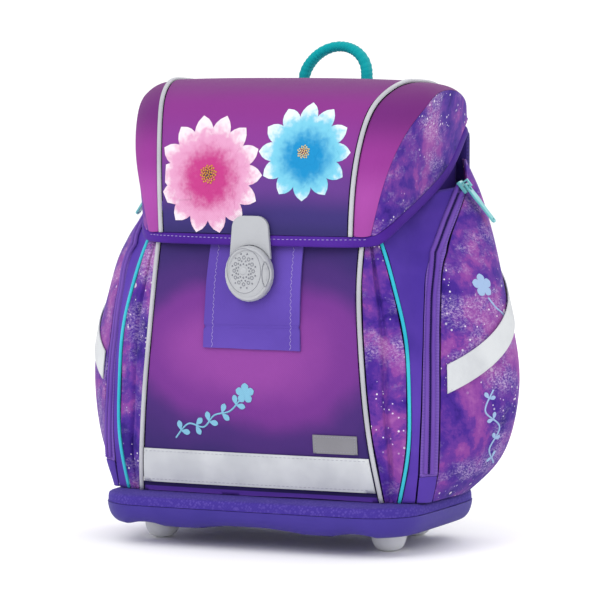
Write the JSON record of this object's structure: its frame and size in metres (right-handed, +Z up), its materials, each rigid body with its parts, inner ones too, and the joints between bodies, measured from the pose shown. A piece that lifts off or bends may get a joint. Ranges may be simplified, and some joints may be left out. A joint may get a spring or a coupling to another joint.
{
  "type": "school backpack",
  "caption": "Rigid school backpack with a hood flap and round clasp, front and side pockets, a moulded base with feet, a top handle and shoulder straps.",
  "frame": {"origin": "on the ground under the feet, at the middle of the bag's width and depth", "axes": "+Z up, -Y towards the clasp side, +Y towards the wearer's back, +X to the right seen from the front"},
  "size_m": [0.3792, 0.2256, 0.4095],
  "materials": {
    "violet_fabric": "matt woven polyester",
    "front_fabric": "matt woven polyester, printed in a soft gradient",
    "flap_fabric": "matt woven polyester, printed in a soft gradient",
    "band_fabric": "matt woven polyester, printed in a soft gradient",
    "galaxy_fabric": "matt woven polyester, printed with paint splatter",
    "reflective_cloth": "satin retroreflective cloth",
    "grey_piping": "satin piping",
    "turquoise_piping": "satin piping",
    "binding_tape": "woven binding tape",
    "zip_tape": "woven zip tape with a covered coil",
    "mint_paint": "satin paint",
    "label_patch": "satin soft patch",
    "clasp_plastic": "satin gloss",
    "tray_plastic": "fine moulded grain",
    "tray_band": "coarse woven tape",
    "foot_plastic": "smooth moulded",
    "back_padding": "matt spacer mesh",
    "teal_webbing": "woven cover over a soft core",
    "strap_webbing": "flat woven webbing",
    "adjuster_plastic": "smooth moulded"
  },
  "bodies": {
    "bag": {"body_shell": "violet_fabric", "closure_tab": "violet_fabric", "side_panel_right": "violet_fabric", "side_panel_left": "violet_fabric", "front_panel": "front_fabric", "flap_panel": "flap_fabric", "flap_band_right": "band_fabric", "flap_band_left": "band_fabric", "gusset_right": "galaxy_fabric", "gusset_left": "galaxy_fabric", "flap_wing_right": "galaxy_fabric", "flap_wing_left": "galaxy_fabric", "side_pocket_right": "galaxy_fabric", "side_pocket_left": "galaxy_fabric", "front_reflective_strip": "reflective_cloth", "pocket_strip_right": "reflective_cloth", "pocket_strip_left": "reflective_cloth", "front_piping_right": "grey_piping", "front_piping_left": "grey_piping", "flap_piping_right": "grey_piping", "flap_piping_left": "grey_piping", "side_piping_right": "turquoise_piping", "side_piping_left": "turquoise_piping", "flap_binding": "binding_tape", "zip_tape_right": "zip_tape", "zip_tape_left": "zip_tape", "zip_end_patch_right": "zip_tape", "zip_end_patch_left": "zip_tape", "zip_slider_right": "mint_paint", "zip_slider_left": "mint_paint", "front_label": "label_patch", "clasp_housing": "clasp_plastic", "clasp_plate": "clasp_plastic", "base_tray": "tray_plastic", "base_band": "tray_band", "foot_front_right": "foot_plastic", "foot_front_left": "foot_plastic", "foot_back_right": "foot_plastic", "foot_back_left": "foot_plastic", "back_panel": "back_padding", "shoulder_strap_right": "back_padding", "shoulder_strap_left": "back_padding", "handle": "teal_webbing", "strap_web_right": "strap_webbing", "strap_web_left": "strap_webbing", "strap_adjuster_right": "adjuster_plastic", "strap_adjuster_left": "adjuster_plastic"},
    "pull_right": {"zip_pull_right": "mint_paint"},
    "pull_left": {"zip_pull_left": "mint_paint"}
  },
  "joints": [
    {"name": "pull_right_hinge", "type": "hinge", "parent": "bag", "child": "pull_right", "pos_m": [0.13988, 0.02008, 0.29371], "axis": [0.0607, -0.995, -0.0799], "range_deg": [0, 150]},
    {"name": "pull_left_hinge", "type": "hinge", "parent": "bag", "child": "pull_left", "pos_m": [-0.13988, 0.02008, 0.29371], "axis": [0.0607, 0.995, 0.0799], "range_deg": [0, 150]}
  ]
}
